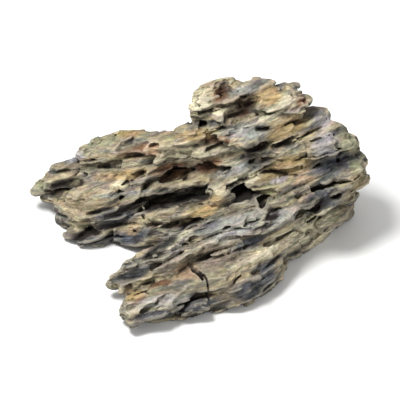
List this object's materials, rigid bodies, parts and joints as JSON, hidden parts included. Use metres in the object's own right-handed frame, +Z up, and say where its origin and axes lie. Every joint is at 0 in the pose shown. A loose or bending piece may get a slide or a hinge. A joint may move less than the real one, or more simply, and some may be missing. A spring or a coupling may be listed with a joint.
{
  "type": "dragon stone",
  "caption": "Craggy aquascaping boulder of layered clay stone, with overhanging ledges, pits and a low spur, resting on a flat underside.",
  "frame": {"origin": "middle of the stone's bounding box in plan, on the ground it rests on", "axes": "+Z up, +X along the longest way across the stone, +Y from the display face to the back"},
  "size_m": [0.2512, 0.1736, 0.113],
  "materials": {
    "stone": "weathered, layered clay stone: taupe grey with tan, ochre, rust brown and blue-grey bands, dull and gritty"
  },
  "bodies": {
    "root": {"dragon_stone": "stone"}
  },
  "joints": []
}
